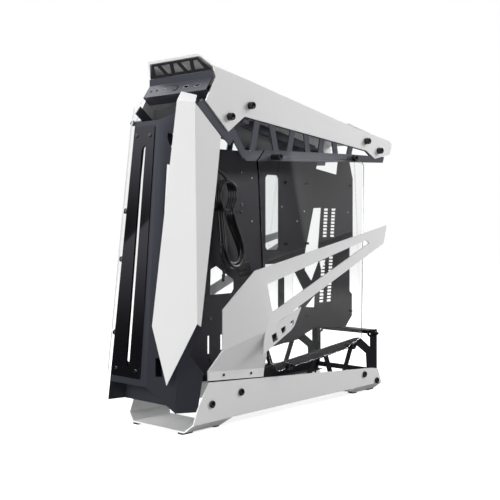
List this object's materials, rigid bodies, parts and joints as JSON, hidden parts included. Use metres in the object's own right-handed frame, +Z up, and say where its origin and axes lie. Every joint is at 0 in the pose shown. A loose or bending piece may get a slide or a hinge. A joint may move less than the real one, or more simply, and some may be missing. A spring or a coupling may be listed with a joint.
{
  "type": "full-tower computer case",
  "caption": "Open-frame full-tower computer case: white folded base, hood and side wings over black trusses, tray and front column, with clear side panes.",
  "frame": {"origin": "middle of the case's bounding box in plan, on the surface its foot pads stand on", "axes": "+Z up, -Y towards the front column, +X towards the board side of the tray"},
  "size_m": [0.2504, 0.663, 0.666],
  "materials": {
    "white_paint": "fine satin powder coat",
    "black_paint": "satin powder coat",
    "grey_paint": "satin blue-grey powder coat",
    "gloss_trim": "high gloss",
    "black_steel": "black zinc, satin",
    "clear_glass": "clear tempered",
    "black_rubber": "matt",
    "black_plastic": "fine texture",
    "port_metal": "nickel plated",
    "cable_sheath": "soft satin sheath"
  },
  "bodies": {
    "case": {"audio_jacks": "black_plastic", "base_bolts": "black_steel", "base_shell": "white_paint", "blade_brackets": "black_paint", "board_standoffs": "black_steel", "button_ring": "black_steel", "button_switch": "black_plastic", "cable_connector": "black_plastic", "cable_hank": "cable_sheath", "cable_lead": "cable_sheath", "cable_tie": "black_plastic", "column_cross_plate": "grey_paint", "foot_pads": "black_rubber", "frame_knobs": "black_steel", "front_blade": "white_paint", "front_column": "grey_paint", "front_grille": "black_plastic", "front_trim": "gloss_trim", "glass_bolts": "black_steel", "glass_left": "clear_glass", "glass_right": "clear_glass", "glass_standoffs": "black_steel", "hood_bolts": "black_steel", "hood_shell": "white_paint", "hood_spacers": "black_steel", "io_housing": "black_plastic", "io_panel": "grey_paint", "lead_connectors": "black_plastic", "lower_truss_left": "black_paint", "lower_truss_right": "black_paint", "motherboard_tray": "black_paint", "port_board": "black_plastic", "rear_frame": "black_paint", "side_wing_left": "white_paint", "side_wing_right": "white_paint", "supply_rails": "black_paint", "thin_leads": "cable_sheath", "top_bracket": "grey_paint", "tray_screws": "black_steel", "trim_screws": "black_steel", "upper_truss_left": "grey_paint", "upper_truss_right": "grey_paint", "usb_c_port": "port_metal", "usb_ports": "port_metal", "wing_screws": "black_steel"},
    "button": {"power_button": "black_plastic"}
  },
  "joints": [
    {"name": "power_button_press", "type": "slide", "parent": "case", "child": "button", "axis": [0, -0.8209, 0.5711], "range_m": [-0.0015, 0], "stiffness_N_per_m": 300, "springref_m": 0.0007}
  ]
}
